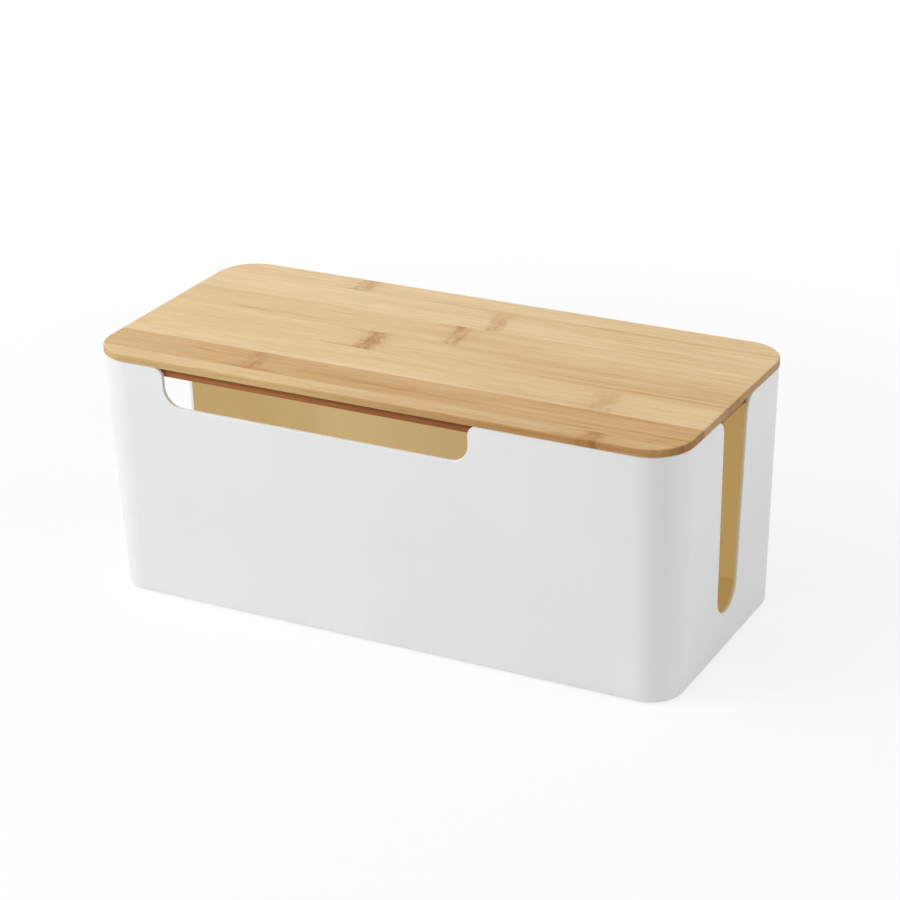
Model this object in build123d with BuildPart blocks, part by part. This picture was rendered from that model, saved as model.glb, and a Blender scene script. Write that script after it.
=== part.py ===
from build123d import *
import os

# A router storage box: a moulded box with cable slots, a bamboo lid that lifts off, and four rubber feet.
# Sizes are in millimetres. The origin is the middle of the footprint, at the level the feet stand on.
# +X runs to the right-hand end, -Y to the front and +Z up.

# Lid board
lid_length = 320.0
lid_depth = 145.0
lid_corner_radius = 21.5
lid_edge_thickness = 4.2
lid_overhang = 0.3
lid_top_rounding = 1.2
lid_edge_chamfer = 0.4

# Lip under the lid, which drops into the box
lip_height = 5.3
lip_clearance = 0.8
lip_rounding = 0.6

# Bamboo strips, from the back edge of the lid to the front. On a lid of another depth each is as much wider
# or narrower as the lid is.
strip_widths = (16.6, 24.9, 24.4, 23.1, 24.4, 21.9, 9.7)

# Box
body_height = 128.2
wall = 2.2
floor_thickness = 3.0
wall_lean = 3.9
floor_fillet = 4.0
base_rounding = 1.0
rim_rounding = 0.5

# Cable slot at the top of the front wall
front_slot_width = 169.5
front_slot_depth = 20.1
front_slot_shift = -31.0
front_slot_corner = 10.0
front_slot_flare = 5.2

# U-shaped cable slot in each end wall. The sill is the wall left standing below the slot.
end_slot_width = 30.0
end_slot_sill = 19.8
end_slot_bottom_radius = 12.1
end_slot_flare = 8.0

# Feet, set in from the edges of the base
foot_diameter = 14.0
foot_thickness = 2.0
foot_socket_depth = 1.2
foot_clearance = 0.15
foot_chamfer = 0.4
foot_inset_x = 22.0
foot_inset_y = 20.0

# Levels
base_level = foot_thickness - foot_socket_depth
floor_level = base_level + floor_thickness
rim_level = base_level + body_height
lid_top_level = rim_level + lid_edge_thickness
lip_bottom_level = rim_level - lip_height
end_slot_bottom_level = base_level + end_slot_sill

# Outline of the box at its rim and its base
rim_length = lid_length - 2 * lid_overhang
rim_depth = lid_depth - 2 * lid_overhang
rim_corner_radius = lid_corner_radius - lid_overhang
base_length = rim_length - 2 * wall_lean
base_depth = rim_depth - 2 * wall_lean

os.makedirs("parts", exist_ok=True)


def write_out(piece, name):
    """Label a finished piece and write its file."""
    piece.label = name
    export_step(piece, f"parts/{name}.step")


def box_section(level, inset):
    """Sketch the box's outline at a level, moved in from the outer face by an inset."""
    step = inset + wall_lean * (rim_level - level) / body_height
    with BuildSketch(Plane.XY.offset(level)) as section:
        RectangleRounded(rim_length - 2 * step, rim_depth - 2 * step, rim_corner_radius - step)
    return section.sketch


def at_level(edges, level):
    """Keep the edges that lie at a level."""
    return edges.filter_by_position(Axis.Z, level, level)


def is_open_edge(edge):
    """Tell the long edges of the rim and the slots from the box's other edges."""
    return edge.bounding_box().min.Z > end_slot_bottom_level - wall and edge.length > 2 * wall


# Where the feet go
foot_x = base_length / 2 - foot_inset_x
foot_y = base_depth / 2 - foot_inset_y
foot_places = {
    "foot_front_left": (-foot_x, -foot_y),
    "foot_front_right": (foot_x, -foot_y),
    "foot_back_left": (-foot_x, foot_y),
    "foot_back_right": (foot_x, foot_y),
}

# Body: a leaning shell with round corners, a front slot, two end slots and four foot sockets
with BuildPart() as body:
    loft([box_section(base_level, 0), box_section(rim_level, 0)], ruled=True)
    fillet(at_level(body.edges(), base_level), base_rounding)
    loft([box_section(floor_level, wall), box_section(rim_level, wall)], ruled=True, mode=Mode.SUBTRACT)
    fillet(at_level(body.edges(), floor_level), floor_fillet)

    # The front slot is cut from the middle of the box forwards, so it opens the front wall alone
    with BuildSketch(Plane.XZ.shift_origin((front_slot_shift, 0, rim_level))) as front_slot:
        Rectangle(front_slot_width, 2 * front_slot_depth)
        fillet(front_slot.vertices().group_by(Axis.Y)[0], front_slot_corner)
    extrude(amount=lid_depth, mode=Mode.SUBTRACT)
    front_slot_sides = at_level(body.edges().filter_by(Axis.Y), rim_level)
    front_slot_reach = front_slot_width / 2 + abs(front_slot_shift) + wall
    fillet(front_slot_sides.filter_by_position(Axis.X, -front_slot_reach, front_slot_reach), front_slot_flare)

    # The end slots narrow towards a round bottom
    with BuildSketch(Plane.YZ.shift_origin((0, 0, rim_level))):
        Rectangle(end_slot_width, 2 * wall)
        with Locations((0, end_slot_bottom_level + end_slot_bottom_radius - rim_level)):
            Circle(end_slot_bottom_radius)
        make_hull()
    extrude(amount=lid_length, both=True, mode=Mode.SUBTRACT)
    end_slot_sides = at_level(body.edges().filter_by(Axis.X), rim_level)
    fillet(end_slot_sides.filter_by_position(Axis.Y, -end_slot_width, end_slot_width), end_slot_flare)

    fillet(body.edges().filter_by(is_open_edge), rim_rounding)

    with BuildSketch(Plane.XY.offset(base_level)):
        with Locations(*foot_places.values()):
            Circle(foot_diameter / 2 + foot_clearance)
    extrude(amount=foot_socket_depth, mode=Mode.SUBTRACT)

write_out(body.part, "body")

# Feet: round pads that stand out below the base, with a chamfer round the face that meets the table
for foot_name, foot_place in foot_places.items():
    with BuildPart() as foot:
        with BuildSketch():
            with Locations(foot_place):
                Circle(foot_diameter / 2)
        extrude(amount=foot_thickness)
        chamfer(at_level(foot.edges(), 0), foot_chamfer)
    write_out(foot.part, foot_name)

# Lid board: a flat top that rests on the rim, and a lip that drops inside the walls
lip_inset = lid_overhang + wall + lip_clearance
with BuildPart() as board:
    with BuildSketch(Plane.XY.offset(rim_level)):
        RectangleRounded(lid_length, lid_depth, lid_corner_radius)
    extrude(amount=lid_edge_thickness)
    fillet(at_level(board.edges(), lid_top_level), lid_top_rounding)
    chamfer(at_level(board.edges(), rim_level), lid_edge_chamfer)
    with BuildSketch(Plane.XY.offset(rim_level)):
        RectangleRounded(
            lid_length - 2 * lip_inset,
            lid_depth - 2 * lip_inset,
            lid_corner_radius - lip_inset,
        )
    extrude(amount=-lip_height)
    fillet(at_level(board.edges(), lip_bottom_level), lip_rounding)

# Strips: the board is sawn along its glue joints, from the back to the front
strip_stretch = lid_depth / sum(strip_widths)
rest_of_board = board.part
joint = lid_depth / 2
for strip_number, strip_width in enumerate(strip_widths[:-1], start=1):
    joint -= strip_width * strip_stretch
    joint_plane = Plane.XZ.offset(-joint)
    with BuildPart() as strip:
        add(rest_of_board)
        split(bisect_by=joint_plane, keep=Keep.BOTTOM)
    with BuildPart() as rest:
        add(rest_of_board)
        split(bisect_by=joint_plane, keep=Keep.TOP)
    write_out(strip.part, f"lid_strip_{strip_number}")
    rest_of_board = rest.part

write_out(rest_of_board, f"lid_strip_{len(strip_widths)}")
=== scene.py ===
import math
from collections import namedtuple

import bpy
from mathutils import Matrix, Vector


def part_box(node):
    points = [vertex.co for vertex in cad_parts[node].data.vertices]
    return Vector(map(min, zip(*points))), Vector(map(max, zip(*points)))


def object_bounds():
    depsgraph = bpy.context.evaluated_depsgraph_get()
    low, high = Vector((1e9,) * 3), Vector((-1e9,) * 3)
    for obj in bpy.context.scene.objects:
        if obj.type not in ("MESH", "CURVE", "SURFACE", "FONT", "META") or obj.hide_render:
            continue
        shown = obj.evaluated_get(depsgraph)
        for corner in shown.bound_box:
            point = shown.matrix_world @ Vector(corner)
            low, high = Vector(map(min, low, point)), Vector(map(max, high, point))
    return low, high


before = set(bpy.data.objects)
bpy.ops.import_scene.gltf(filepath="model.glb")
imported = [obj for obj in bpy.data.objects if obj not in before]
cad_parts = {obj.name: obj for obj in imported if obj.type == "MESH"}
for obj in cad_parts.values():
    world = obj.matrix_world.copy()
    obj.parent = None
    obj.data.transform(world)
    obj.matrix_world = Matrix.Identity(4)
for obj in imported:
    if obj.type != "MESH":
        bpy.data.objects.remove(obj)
cad_low, cad_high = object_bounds()

# Lengths are in metres and angles in degrees. +X is the right-hand end, -Y the front and +Z up.
# A range gives where a soft step starts and where it is full.
MM = 0.001

# Camera, at the photograph's viewing angle. Its lens and sensor are in millimetres.
CAMERA_PLACE = (0.57583, -1.06279, 0.60908)
CAMERA_AZIMUTH = 28.199
CAMERA_ELEVATION = 23.736
CAMERA_ROLL = -1.443
CAMERA_LENS = 104.72
CAMERA_SENSOR = 36.0

# Light: a pale room, a broad soft lamp above and weaker ones at the front left and the right
ROOM_STRENGTH = 0.52
Lamp = namedtuple("Lamp", "name place size power")
LAMPS = (
    Lamp("lamp_above", (-0.65, -0.75, 1.6), 1.3, 12.0),
    Lamp("lamp_left", (-1.35, -0.95, 0.75), 0.9, 10.0),
    Lamp("lamp_right", (1.4, 0.5, 0.6), 0.8, 4.7),
)

# Floor, which turns into the white backdrop away from the object
FLOOR_RADIUS = 6.0
FLOOR_SIDES = 96
FLOOR_WHITE = (0.93, 0.93, 0.93)
FLOOR_GLOW = 0.75
BACKDROP_WHITE = (1.0, 1.0, 1.0)
BACKDROP_RANGE = (0.25, 0.6)

# Body: the rounded outline of its walls, which tells the inside from the outside
CORNER_RADIUS = 21.2 * MM
WALL = 2.2 * MM
WALL_LEAN = 3.9 * MM
BASE_THICKNESS = 3.0 * MM
RIM_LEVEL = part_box("body")[1].z

# A noise: its bumps per metre along each axis, its levels of detail and how rough these are. The range is
# where most of a noise lies.
Noise = namedtuple("Noise", "scale detail roughness", defaults=(2.0, 0.5))
NOISE_RANGE = (0.3, 0.7)

# A finish: its least and most roughness, its specular level, and the height and strength of its fine relief
Finish = namedtuple("Finish", "smooth rough specular relief_height relief_strength")

# Plastic: white outside and tan inside, with clouds of tone and a fine skin
PLASTIC_WHITE = (0.765, 0.772, 0.767)
PLASTIC_SHADE = (0.745, 0.752, 0.748)
INSIDE_LIGHT = (0.76, 0.63, 0.41)
INSIDE_SHADE = (0.72, 0.59, 0.37)
PLASTIC_FINISH = Finish(0.42, 0.52, 0.40, 0.02 * MM, 0.25)
CLOUDS = Noise((14, 14, 14), 3)
CLOUD_RANGE = (0.35, 0.7)
SKIN = Noise((2200, 2200, 2200))

# Painted light: an emission glow on the plastic that stands in for light seeping through the thin walls and
# slots. It lies on their cut edges, weaker where these face right as painted shade, and inside at the base,
# at the ends and behind the front slot
PAINTED_EDGE_GLOW = (0.115, 0.135, 0.155)
PAINTED_RIGHT_EDGE_GLOW = (0.015, 0.025, 0.030)
FACES_RIGHT_RANGE = (0.1, 0.7)
PAINTED_BASE_GLOW = (0.085, 0.068, 0.030)
BASE_GLOW_HEIGHT = 1.0 * MM
PAINTED_END_GLOW = (0.147, 0.120, 0.052)
PAINTED_SLOT_GLOW = (0.196, 0.176, 0.100)
SLOT_GLOW_RANGE = (110 * MM, 20 * MM)

# Depth in a wall goes from 0 on its outside to 1 on its inside. The painted glow starts at a wall's cut
# edge and is full on its inside. In the base, tan and painted glow are full just below its top.
CUT_EDGE_RANGE = (0.03, 0.15)
INSIDE_RANGE = (0.95, 1.0)
BASE_MARGIN = 0.5 * MM

# How deep in a wall's cut edge the tan starts and is full, and the share of the painted glow there, in the
# right-hand slot and elsewhere. In the right-hand slot the tan across the cut edge is painted shade and
# warm reflected light from the inside. The range is in distance from the slot's middle line.
CutEdge = namedtuple("CutEdge", "tan_start tan_full glow_share")
RIGHT_SLOT_PAINTED_EDGE = CutEdge(0.00, 0.70, 0.35)
OTHER_EDGE = CutEdge(0.85, 0.98, 1.00)
RIGHT_SLOT_RANGE = (16 * MM, 24 * MM)

# Bamboo: its palest and brownest tone
BAMBOO_PALE = (0.820, 0.620, 0.345)
BAMBOO_BROWN = (0.600, 0.365, 0.150)
BAMBOO_FINISH = Finish(0.42, 0.55, 0.25, 0.03 * MM, 0.30)

# Grain: a slow drift of tone, streaky grain that is stronger to the right, fibres, dark vessels and glue
# joints. The weights say how much each changes the tone. Each strip is cut from another place in the noise.
DRIFT = Noise((11, 110, 110), 3)
DRIFT_WEIGHT = 0.75
GRAIN = Noise((12, 560, 560), 4, 0.6)
GRAIN_WEIGHTS = (0.55, 1.05)
FIBRES = Noise((60, 2600, 2600))
FIBRE_WEIGHT = 0.6
VESSELS = Noise((55, 1500, 1500), 1)
VESSEL_RANGE = (0.60, 0.72)
VESSEL_WEIGHT = 0.35
JOINT_RANGE = (0.4 * MM, 0.1 * MM)
JOINT_WEIGHT = 0.15
STRIP_STEP = (0.71, 0.13, 0.0)

# Node marks: a halo, a stained core and dark bands. A mark's line wanders, its rim is mottled, and its
# sizes are shares of its width. Each seed moves it to another place in the noise.
NODE_STAIN = (0.460, 0.205, 0.055)
NODE_DARK = (0.360, 0.130, 0.030)
SEED_STEP = 100 * MM
WANDER = Noise((20, 130, 60))
WANDER_SHARE = 0.6
MOTTLE = Noise((200, 420, 420))
MOTTLE_SHARE = 0.35
HALO_RANGE = (1.6, 0.3)
HALO_STRENGTH = 0.2
CORE_RANGE = (0.8, 0.2)
BANDS = Noise((300, 85, 60), roughness=0.6)
STAIN_RANGE = (0.25, 0.60)
STAIN_LEAST = 0.35
DARK_RANGE = (0.48, 0.68)

# Share of a streak's length over which each of its ends fades out
STREAK_FADE = 0.3

# On its cut faces the wood's tone is deeper, and tinted on the lid's sides and on its ends. The lip below
# it is tinted darker and redder as painted shade and warm reflected light under the lid's overhang, a
# little less on its ends, and its top corner is darkest as a painted shadow of the overhang. The ends show
# pores.
CUT_FACE_DEPTH = 1.25
EDGE_TINT = (0.80, 0.80, 0.79)
END_GRAIN_TINT = (0.60, 0.56, 0.52)
FACES_SIDE_RANGE = (0.92, 0.55)
FACES_END_RANGE = (0.5, 0.9)
PORE_SCALE = (60, 1000, 1000)
PORE_RANGE = (0.38, 0.18)
PORE_STRENGTH = 0.55
PORE_TINT = (0.35, 0.28, 0.20)
LIP_PAINTED_SHADE = (0.49, 0.27, 0.146)
LIP_CORNER_PAINTED_SHADOW = (0.35, 0.177, 0.033)
LIP_END_PAINTED_SHADE = (0.52, 0.36, 0.18)
LIP_CORNER_DEPTH = 2.8 * MM
LIP_BLEND = 0.6 * MM

# Rubber
RUBBER_DARK = (0.50, 0.50, 0.49)
RUBBER_PALE = (0.60, 0.60, 0.59)
RUBBER_FINISH = Finish(0.70, 0.85, 0.50, 0.05 * MM, 0.40)
RUBBER_GRAIN = Noise((1600, 1600, 1600), 3)

# Each strip from the back to the front: how brown its left and right ends are, the mark where the cane had
# its node, and brown streaks. A mark has its place along the lid, its shift from the strip's back edge to
# its front edge, its width, the strengths of its stain and of its dark bands, and a seed. A streak runs
# along the lid from its start to its end, at a place across the lid, with its width and strength.
Mark = namedtuple("Mark", "place shift width stain dark seed")
Streak = namedtuple("Streak", "start end across width strength")
Strip = namedtuple("Strip", "brown_left brown_right mark streaks")
STRIPS = (
    Strip(
        0.17,
        0.27,
        Mark(-74.5 * MM, 0 * MM, 12 * MM, 0.45, 0.18, 3),
        (Streak(-70 * MM, 200 * MM, 57.0 * MM, 1.8 * MM, 0.45),),
    ),
    Strip(0.06, 0.34, Mark(12.5 * MM, 2 * MM, 9 * MM, 0.42, 0.30, 3), ()),
    Strip(
        0.36,
        0.45,
        Mark(2 * MM, 5 * MM, 9 * MM, 0.45, 0.35, 2),
        (
            Streak(-130 * MM, -98 * MM, 10.5 * MM, 2.5 * MM, 0.40),
            Streak(-16 * MM, 2 * MM, 29.0 * MM, 2.2 * MM, 0.35),
        ),
    ),
    Strip(
        0.24,
        0.64,
        Mark(-34 * MM, 1 * MM, 12 * MM, 0.70, 0.40, 6),
        (
            Streak(-60 * MM, -30 * MM, 5.6 * MM, 1.2 * MM, 0.45),
            Streak(-62 * MM, -26 * MM, -15.6 * MM, 1.2 * MM, 0.40),
            Streak(20 * MM, 200 * MM, 1.5 * MM, 4.0 * MM, 0.18),
            Streak(30 * MM, 200 * MM, -8.0 * MM, 2.0 * MM, 0.20),
            Streak(50 * MM, 200 * MM, -12.5 * MM, 2.5 * MM, 0.20),
        ),
    ),
    Strip(0.20, 0.38, Mark(103.5 * MM, 1 * MM, 13 * MM, 0.28, 0.22, 6), ()),
    Strip(
        0.86,
        1.04,
        Mark(-74 * MM, 0 * MM, 12 * MM, 0.36, 0.42, 1),
        (
            Streak(-95 * MM, -50 * MM, -61.0 * MM, 2.0 * MM, 0.40),
            Streak(-75 * MM, 80 * MM, -54 * MM, 8.0 * MM, 0.20),
            Streak(30 * MM, 220 * MM, -43 * MM, 2.5 * MM, 0.15),
            Streak(60 * MM, 220 * MM, -56 * MM, 1.2 * MM, 0.25),
            Streak(60 * MM, 220 * MM, -60.5 * MM, 1.2 * MM, 0.25),
        ),
    ),
    Strip(0.30, 0.86, Mark(116.5 * MM, 0 * MM, 11 * MM, 0.62, 0.48, 10), ()),
)


class Graph:
    """A node tree being built. Most calls add a node and return its output."""

    # A mix node's sockets for colours, by number, because its sockets for other kinds have the same names
    MIX_INPUTS = (0, 6, 7)
    MIX_OUTPUT = 2

    def __init__(self, owner):
        owner.use_nodes = True
        self.tree = owner.node_tree
        self.tree.nodes.clear()

    def node(self, kind, *inputs, named=None, **settings):
        """Add a node and return it. Its inputs are given by number or by name, as outputs or as values."""
        node = self.tree.nodes.new(kind)
        for name, value in settings.items():
            setattr(node, name, value)
        for index, value in enumerate(inputs):
            self.feed(node.inputs[index], value)
        for name, value in (named or {}).items():
            self.feed(node.inputs[name], value)
        return node

    def add(self, kind, *inputs, output=0, **settings):
        return self.node(kind, *inputs, **settings).outputs[output]

    def feed(self, socket, value):
        """Link an output to a socket or set a value on it. None leaves the socket as it is."""
        if isinstance(value, bpy.types.NodeSocket):
            self.tree.links.new(value, socket)
        elif value is not None:
            socket.default_value = (*value, 1.0) if socket.type == "RGBA" else value

    def math(self, operation, *inputs):
        return self.add("ShaderNodeMath", *inputs, operation=operation)

    def vector(self, operation, *inputs):
        return self.add("ShaderNodeVectorMath", *inputs, operation=operation)

    def length(self, vector):
        return self.add("ShaderNodeVectorMath", vector, operation="LENGTH", output="Value")

    def place(self):
        """Coordinates on the object, in metres."""
        return self.add("ShaderNodeTexCoord", output="Object")

    def normal(self):
        """The way that the surface faces, on the object."""
        return self.add("ShaderNodeTexCoord", output="Normal")

    def parts(self, vector):
        """The three numbers of a vector."""
        return self.node("ShaderNodeSeparateXYZ", vector).outputs

    def noise(self, place, kind):
        """One kind of noise, from 0 to 1."""
        stretched = self.vector("MULTIPLY", place, kind.scale)
        named = {"Vector": stretched, "Scale": 1.0, "Detail": kind.detail, "Roughness": kind.roughness}
        return self.add("ShaderNodeTexNoise", named=named)

    def sway(self, base, noise, weight):
        """Move a number up and down by a noise, evened about zero, times a weight."""
        return self.math("MULTIPLY_ADD", self.math("SUBTRACT", noise, 0.5), weight, base)

    def ramp(self, value, start, end, low=0.0, high=1.0):
        """A smooth step from low at start to high at end."""
        return self.add("ShaderNodeMapRange", value, start, end, low, high, interpolation_type="SMOOTHSTEP")

    def mix(self, factor, first, second, blend_type="MIX", limit=True):
        """Mix two colours. Without a limit the factor can pass 0 and 1."""
        named = dict(zip(self.MIX_INPUTS, (factor, first, second)))
        settings = {"data_type": "RGBA", "blend_type": blend_type, "clamp_factor": limit}
        return self.add("ShaderNodeMix", named=named, output=self.MIX_OUTPUT, **settings)

    def surface(self, finish, colour, gloss, relief, glow=None, glow_strength=None):
        """End a material with a principled surface. Noises give its roughness and its relief."""
        height = {"Height": relief, "Distance": finish.relief_height, "Strength": finish.relief_strength}
        named = {
            "Base Color": colour,
            "Roughness": self.ramp(gloss, *NOISE_RANGE, finish.smooth, finish.rough),
            "Specular IOR Level": finish.specular,
            "Emission Color": glow,
            "Emission Strength": glow_strength,
            "Normal": self.add("ShaderNodeBump", named=height),
        }
        self.node("ShaderNodeOutputMaterial", self.add("ShaderNodeBsdfPrincipled", named=named))


def new_material(name):
    material = bpy.data.materials.new(name)
    return material, Graph(material)


def dress(node, material):
    """Give a CAD node its finish."""
    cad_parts[node].material_slots[0].material = material


def wall_depth(graph, place):
    """How deep a point lies in the body's walls: 0 on their outside, 1 on their inside."""
    low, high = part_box("body")
    half_x = high.x - CORNER_RADIUS
    half_y = high.y - CORNER_RADIUS
    x, y, z = graph.parts(place)
    flat = graph.add("ShaderNodeCombineXYZ", graph.math("ABSOLUTE", x), graph.math("ABSOLUTE", y))
    past_corner = graph.vector("SUBTRACT", flat, (half_x, half_y, 0.0))
    from_core = graph.length(graph.vector("MAXIMUM", past_corner, (0.0, 0.0, 0.0)))
    lean = WALL_LEAN / (high.z - low.z)
    outer_face = graph.math("MULTIPLY_ADD", z, lean, CORNER_RADIUS - lean * high.z)
    return graph.math("DIVIDE", graph.math("SUBTRACT", outer_face, from_core), WALL)


def plastic():
    """White moulded plastic with a fine satin skin, tan inside the body, and a painted glow inside and on
    cut edges that stands in for light through the walls.
    """
    material, graph = new_material("white_plastic")
    place = graph.place()
    x, y, z = graph.parts(place)
    normal_x, _, _ = graph.parts(graph.normal())
    depth = wall_depth(graph, place)
    base_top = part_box("body")[0].z + BASE_THICKNESS
    above_base = graph.ramp(z, base_top - WALL, base_top - BASE_MARGIN)

    # The left-hand half counts as far from the right-hand slot
    from_right_slot = graph.math("MAXIMUM", graph.math("ABSOLUTE", y), graph.math("MULTIPLY", x, -1.0))
    # In the right-hand slot the tan reaches across the cut edge as painted shade and warm reflected light
    tan_start, tan_full, glow_share = (
        graph.ramp(from_right_slot, *RIGHT_SLOT_RANGE, in_slot, elsewhere)
        for in_slot, elsewhere in zip(RIGHT_SLOT_PAINTED_EDGE, OTHER_EDGE)
    )
    inside = graph.math("MULTIPLY", graph.ramp(depth, tan_start, tan_full), above_base)
    off_outside = graph.math("MULTIPLY", graph.ramp(depth, *CUT_EDGE_RANGE), above_base)
    painted_glow_amount = graph.math("MULTIPLY", graph.ramp(depth, *INSIDE_RANGE, glow_share, 1.0), off_outside)

    clouds = graph.noise(place, CLOUDS)
    white = graph.mix(graph.ramp(clouds, *CLOUD_RANGE), PLASTIC_WHITE, PLASTIC_SHADE)
    tan = graph.mix(clouds, INSIDE_LIGHT, INSIDE_SHADE)
    # Painted light: the glow stands in for light through the walls, with painted shade on cut edges that
    # face right
    painted_edge_glow = graph.mix(graph.ramp(normal_x, *FACES_RIGHT_RANGE), PAINTED_EDGE_GLOW, PAINTED_RIGHT_EDGE_GLOW)
    painted_wall_glow = graph.mix(graph.ramp(x, *SLOT_GLOW_RANGE), PAINTED_END_GLOW, PAINTED_SLOT_GLOW)
    off_base = graph.ramp(z, base_top, base_top + BASE_GLOW_HEIGHT)
    painted_inside_glow = graph.mix(off_base, PAINTED_BASE_GLOW, painted_wall_glow)
    graph.surface(
        PLASTIC_FINISH,
        colour=graph.mix(inside, white, tan),
        gloss=clouds,
        relief=graph.noise(place, SKIN),
        glow=graph.mix(inside, painted_edge_glow, painted_inside_glow),
        glow_strength=painted_glow_amount,
    )
    return material


def node_mark(graph, place, mark, low, high, colour):
    """Paint the mark of a cane's node across a strip: a soft halo, a stain and dark bands that waver."""
    x, y, _ = graph.parts(place)
    seed = SEED_STEP * mark.seed
    own_place = graph.vector("ADD", place, (0.0, 0.0, seed))
    slant = mark.shift / (high.y - low.y)
    along = graph.math("SUBTRACT", x, mark.place)
    offset = graph.math("MULTIPLY_ADD", graph.math("SUBTRACT", y, (low.y + high.y) / 2), slant, along)
    offset = graph.sway(offset, graph.noise(own_place, WANDER), WANDER_SHARE * mark.width)
    ragged = graph.sway(offset, graph.noise(own_place, MOTTLE), MOTTLE_SHARE * mark.width)
    bands = graph.noise(graph.add("ShaderNodeCombineXYZ", ragged, y, seed), BANDS)

    halo_range = [share * mark.width for share in HALO_RANGE]
    core_range = [share * mark.width for share in CORE_RANGE]
    halo = graph.ramp(graph.math("ABSOLUTE", offset), *halo_range, 0.0, HALO_STRENGTH * mark.stain)
    core = graph.ramp(graph.math("ABSOLUTE", ragged), *core_range)
    stained = graph.ramp(bands, *STAIN_RANGE, STAIN_LEAST * mark.stain, mark.stain)
    stain = graph.math("MAXIMUM", halo, graph.math("MULTIPLY", core, stained))
    dark = graph.math("MULTIPLY", core, graph.ramp(bands, *DARK_RANGE, 0.0, mark.dark))
    return graph.mix(dark, graph.mix(stain, colour, NODE_STAIN), NODE_DARK)


def streak_tone(graph, place, streak):
    """How much a streak browns the wood, with soft sides and ends that fade out."""
    x, y, _ = graph.parts(place)
    fade = STREAK_FADE * (streak.end - streak.start)
    in_ends = graph.math(
        "MULTIPLY",
        graph.ramp(x, streak.start, streak.start + fade),
        graph.ramp(x, streak.end, streak.end - fade),
    )
    from_middle = graph.math("ABSOLUTE", graph.math("SUBTRACT", y, streak.across))
    in_width = graph.ramp(from_middle, streak.width, 0.0)
    return graph.math("MULTIPLY", graph.math("MULTIPLY", in_ends, in_width), streak.strength)


def glue_joints(graph, y, low, high):
    """1 on the thin dark lines where a strip is glued to its neighbours, and 0 at the lid's own sides."""
    lines = 0.0
    for side in (low.y, high.y):
        if cad_low.y + WALL < side < cad_high.y - WALL:
            from_joint = graph.math("ABSOLUTE", graph.math("SUBTRACT", y, side))
            lines = graph.math("ADD", lines, graph.ramp(from_joint, *JOINT_RANGE))
    return lines


def cut_faces(graph, place, colour):
    """Deepen the tone on the lid's sides and on its ends with their pores, and paint shade on the lip,
    darkest in its top corner.
    """
    _, _, z = graph.parts(place)
    normal_x, _, normal_z = graph.parts(graph.normal())
    on_side = graph.ramp(graph.math("ABSOLUTE", normal_z), *FACES_SIDE_RANGE)
    on_end = graph.ramp(graph.math("ABSOLUTE", normal_x), *FACES_END_RANGE)

    cells = graph.vector("MULTIPLY", place, PORE_SCALE)
    from_pore = graph.add("ShaderNodeTexVoronoi", named={"Vector": cells, "Scale": 1.0}, output="Distance")
    in_pore = graph.ramp(from_pore, *PORE_RANGE, 0.0, PORE_STRENGTH)
    tint = graph.mix(on_end, EDGE_TINT, graph.mix(in_pore, END_GRAIN_TINT, PORE_TINT))

    # Painted shade on the lip below the rim, with a painted shadow of the overhang in its top corner
    corner_level = RIM_LEVEL - LIP_CORNER_DEPTH
    in_lip_corner_shadow = graph.ramp(z, corner_level - LIP_BLEND, corner_level + LIP_BLEND)
    lip_painted_shade = graph.mix(on_end, graph.mix(in_lip_corner_shadow, LIP_PAINTED_SHADE, LIP_CORNER_PAINTED_SHADOW), LIP_END_PAINTED_SHADE)
    tint = graph.mix(graph.ramp(z, RIM_LEVEL, RIM_LEVEL - LIP_BLEND), tint, lip_painted_shade)

    deep = graph.add("ShaderNodeGamma", colour, CUT_FACE_DEPTH)
    return graph.mix(on_side, colour, graph.mix(1.0, deep, tint, "MULTIPLY"))


def bamboo(number, strip):
    """One strip of lacquered bamboo, with its fibres along the lid."""
    material, graph = new_material(f"bamboo_{number}")
    low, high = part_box(f"lid_strip_{number}")
    place = graph.place()
    x, y, _ = graph.parts(place)
    own_place = graph.vector("ADD", place, [step * number for step in STRIP_STEP])
    fibres = graph.noise(own_place, FIBRES)
    vessels = graph.ramp(graph.noise(own_place, VESSELS), *VESSEL_RANGE)
    grain_weight = graph.ramp(x, low.x, high.x, *GRAIN_WEIGHTS)

    brown = graph.ramp(x, low.x, high.x, strip.brown_left, strip.brown_right)
    brown = graph.sway(brown, graph.noise(own_place, DRIFT), DRIFT_WEIGHT)
    brown = graph.sway(brown, graph.noise(own_place, GRAIN), grain_weight)
    brown = graph.sway(brown, fibres, FIBRE_WEIGHT)
    brown = graph.math("MULTIPLY_ADD", vessels, VESSEL_WEIGHT, brown)
    brown = graph.math("MULTIPLY_ADD", glue_joints(graph, y, low, high), JOINT_WEIGHT, brown)
    for streak in strip.streaks:
        brown = graph.math("ADD", brown, streak_tone(graph, place, streak))
    colour = graph.mix(brown, BAMBOO_PALE, BAMBOO_BROWN, limit=False)
    colour = node_mark(graph, place, strip.mark, low, high, colour)
    graph.surface(BAMBOO_FINISH, cut_faces(graph, place, colour), gloss=fibres, relief=fibres)
    return material


def rubber():
    """Soft grey rubber with a fine grain."""
    material, graph = new_material("grey_rubber")
    grain = graph.noise(graph.place(), RUBBER_GRAIN)
    graph.surface(RUBBER_FINISH, graph.mix(grain, RUBBER_DARK, RUBBER_PALE), gloss=grain, relief=grain)
    return material


def seen_directly(graph):
    """1 for what the camera sees, also through gloss or glass, and 0 for light that is thrown about."""
    path = graph.node("ShaderNodeLightPath").outputs
    seen = graph.math("MAXIMUM", path["Is Camera Ray"], path["Is Glossy Ray"])
    return graph.math("MAXIMUM", seen, path["Is Transmission Ray"])


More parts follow.
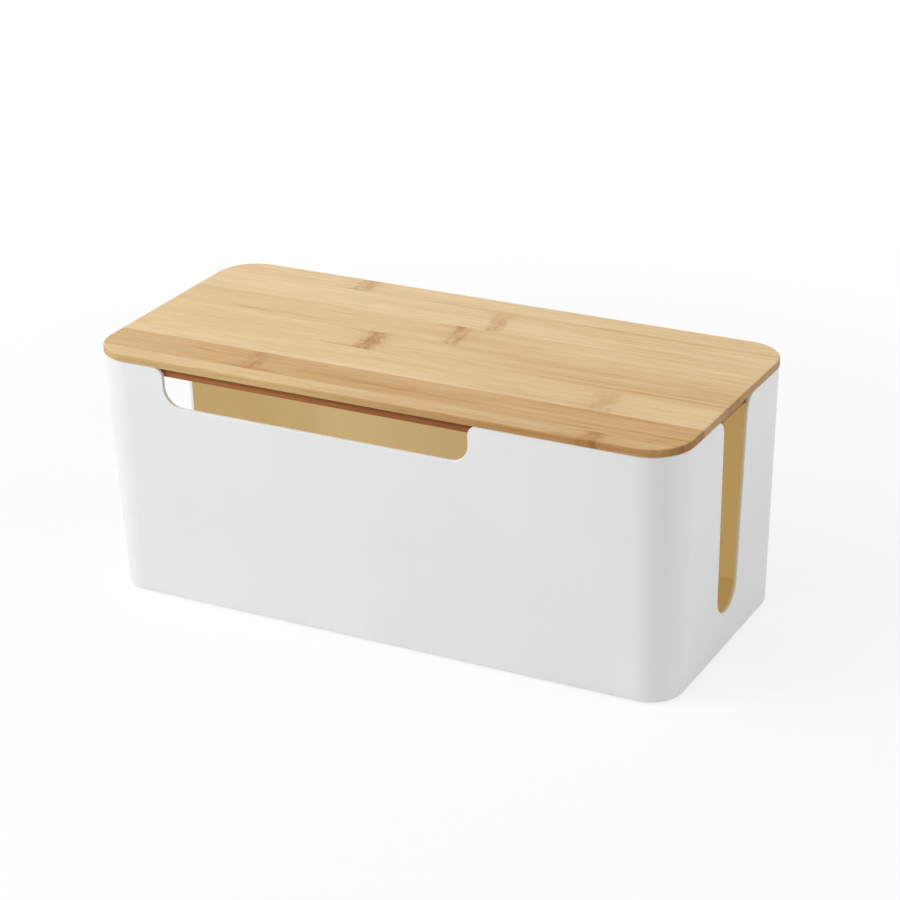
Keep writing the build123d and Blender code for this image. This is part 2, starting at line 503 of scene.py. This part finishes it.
def make_stage():
    """A pale floor that keeps the shadow near the object and turns into a white backdrop further out."""
    mesh = bpy.data.meshes.new("floor")
    turns = [2 * math.pi * step / FLOOR_SIDES for step in range(FLOOR_SIDES)]
    rim = [(FLOOR_RADIUS * math.cos(turn), FLOOR_RADIUS * math.sin(turn), 0.0) for turn in turns]
    mesh.from_pydata(rim, [], [range(FLOOR_SIDES)])
    floor = bpy.data.objects.new("floor", mesh)
    bpy.context.scene.collection.objects.link(floor)

    material, graph = new_material("floor")
    mesh.materials.append(material)
    away = graph.ramp(graph.length(graph.place()), *BACKDROP_RANGE, FLOOR_GLOW, 1.0)
    away = graph.math("MULTIPLY", away, seen_directly(graph))
    matt = graph.add("ShaderNodeBsdfDiffuse", FLOOR_WHITE)
    white = graph.add("ShaderNodeEmission", BACKDROP_WHITE, 1.0)
    graph.node("ShaderNodeOutputMaterial", graph.add("ShaderNodeMixShader", away, matt, white))

    world = bpy.data.worlds.new("room")
    bpy.context.scene.world = world
    graph = Graph(world)
    strength = graph.ramp(seen_directly(graph), 0.0, 1.0, ROOM_STRENGTH, 1.0)
    graph.node("ShaderNodeOutputWorld", graph.add("ShaderNodeBackground", BACKDROP_WHITE, strength))


def make_lamps():
    """Square soft lamps that face the middle of the object."""
    target = (cad_low + cad_high) / 2
    for lamp in LAMPS:
        light = bpy.data.lights.new(lamp.name, "AREA")
        light.size = lamp.size
        light.energy = lamp.power
        holder = bpy.data.objects.new(lamp.name, light)
        holder.location = lamp.place
        holder.rotation_euler = (target - Vector(lamp.place)).to_track_quat("-Z", "Y").to_euler()
        bpy.context.scene.collection.objects.link(holder)


def make_camera():
    """A camera with the photograph's place, lens and tilt."""
    camera = bpy.data.objects.new("camera", bpy.data.cameras.new("camera"))
    camera.data.sensor_width = CAMERA_SENSOR
    camera.data.lens = CAMERA_LENS
    turn = Matrix.Rotation(math.radians(CAMERA_AZIMUTH), 4, "Z")
    tilt = Matrix.Rotation(math.radians(90 - CAMERA_ELEVATION), 4, "X")
    roll = Matrix.Rotation(math.radians(CAMERA_ROLL), 4, "Z")
    camera.matrix_world = Matrix.Translation(CAMERA_PLACE) @ turn @ tilt @ roll
    bpy.context.scene.collection.objects.link(camera)
    bpy.context.scene.camera = camera


dress("body", plastic())
for number, strip in enumerate(STRIPS, start=1):
    dress(f"lid_strip_{number}", bamboo(number, strip))
foot_rubber = rubber()
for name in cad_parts:
    if name.startswith("foot_"):
        dress(name, foot_rubber)

make_stage()
make_lamps()
make_camera()
bpy.context.scene.view_settings.view_transform = "Standard"
